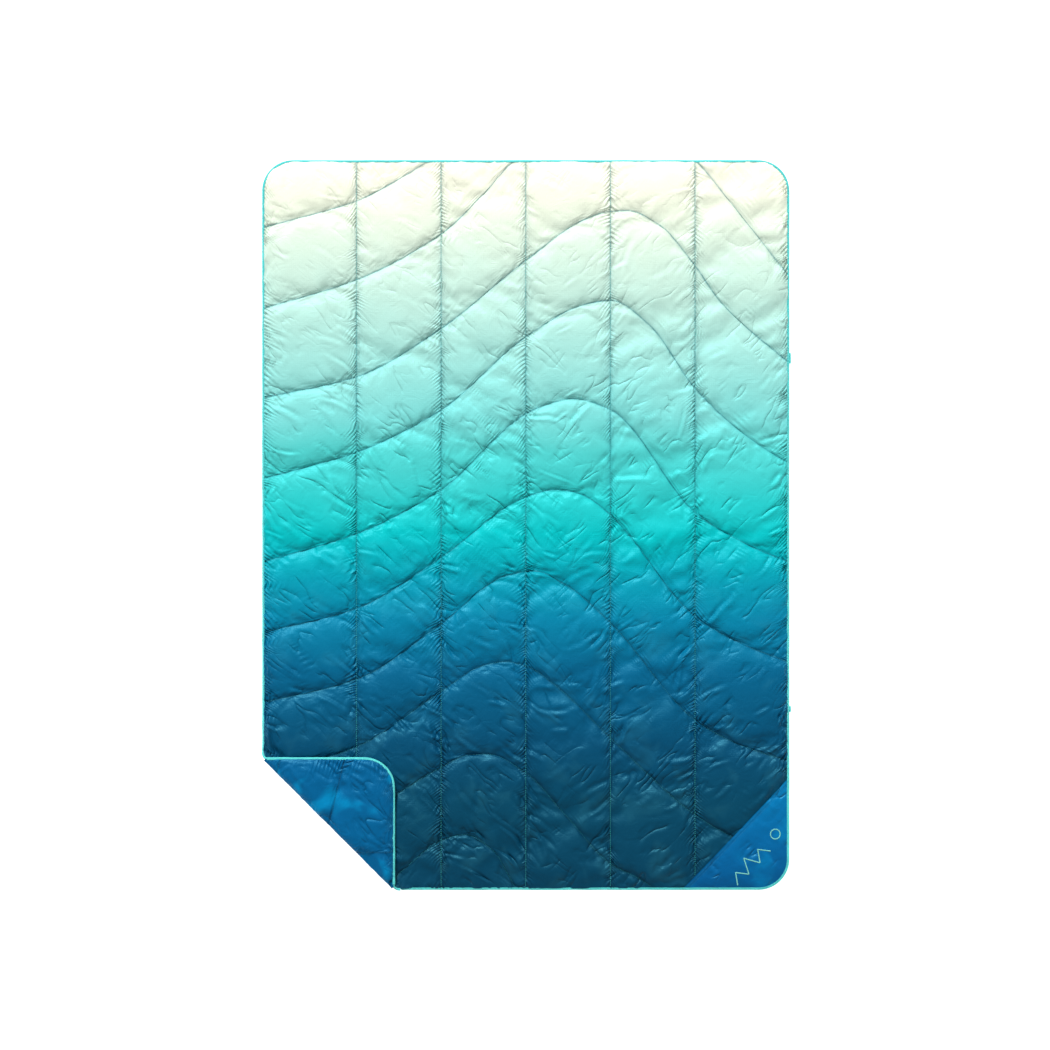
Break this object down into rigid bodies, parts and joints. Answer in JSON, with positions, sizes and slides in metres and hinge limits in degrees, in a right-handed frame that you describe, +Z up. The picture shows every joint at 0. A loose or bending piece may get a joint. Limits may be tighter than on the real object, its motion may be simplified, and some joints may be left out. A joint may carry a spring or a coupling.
{
  "type": "camp blanket",
  "caption": "Quilted camp blanket with a shaded front, plain back, bound edge, corner patch and one corner turned up; folds in half along its middle seam.",
  "frame": {"origin": "under the centre of the blanket, on the plane its back fabric lies on", "axes": "+X to the right and +Y to the pale head end of the front, +Z up out of the front"},
  "size_m": [1.3556, 1.87, 0.044],
  "materials": {
    "front_fabric": "satin",
    "back_fabric": "satin",
    "patch_fabric": "satin",
    "fill": "matte",
    "tape": "matte",
    "thread": "matte",
    "mint_thread": "matte"
  },
  "bodies": {
    "right_half": {"back_panel_right": "back_fabric", "binding_right": "tape", "binding_stitch_right": "thread", "column_stitch_3": "thread", "column_stitch_4": "thread", "column_stitch_5": "thread", "contour_row_b_far_right": "thread", "contour_row_c_right": "thread", "contour_row_d_right": "thread", "contour_row_e_right": "thread", "contour_row_f_right": "thread", "contour_row_g_right": "thread", "contour_row_h_right": "thread", "contour_row_i_right": "thread", "corner_patch": "patch_fabric", "fill_column_4": "fill", "fill_column_5": "fill", "fill_column_6": "fill", "front_panel_right": "front_fabric", "patch_embroidery": "mint_thread", "patch_stitch_inner": "mint_thread", "patch_stitch_outer": "mint_thread", "side_loop_lower": "tape", "side_loop_upper": "tape"},
    "left_half": {"back_panel_left": "back_fabric", "binding_left_foot": "tape", "binding_left_side": "tape", "binding_stitch_left_foot": "thread", "binding_stitch_left_side": "thread", "column_stitch_1": "thread", "column_stitch_2": "thread", "contour_row_a_left": "thread", "contour_row_b_left": "thread", "contour_row_c_left": "thread", "contour_row_d_left": "thread", "contour_row_e_left": "thread", "contour_row_f_left": "thread", "contour_row_g_left": "thread", "contour_row_h_left": "thread", "contour_row_i_left": "thread", "contour_row_j_left": "thread", "fill_column_1": "fill", "fill_column_2": "fill", "fill_column_3": "fill", "front_panel_left": "front_fabric"},
    "corner_flap": {"back_panel_corner": "back_fabric", "binding_corner": "tape", "binding_stitch_corner": "thread", "column_stitch_1_corner": "thread", "contour_row_h_corner": "thread", "contour_row_i_corner": "thread", "fill_corner_1": "fill", "fill_corner_2": "fill", "front_panel_corner": "front_fabric"}
  },
  "joints": [
    {"name": "half_fold", "type": "hinge", "parent": "right_half", "child": "left_half", "pos_m": [0, 0, 0.022], "axis": [0, 1, 0], "range_deg": [0, 170]},
    {"name": "corner_fold", "type": "hinge", "parent": "left_half", "child": "corner_flap", "pos_m": [-0.63525, -0.63525, 0.022], "axis": [0.7071, -0.7071, 0], "range_deg": [0, 180]}
  ]
}
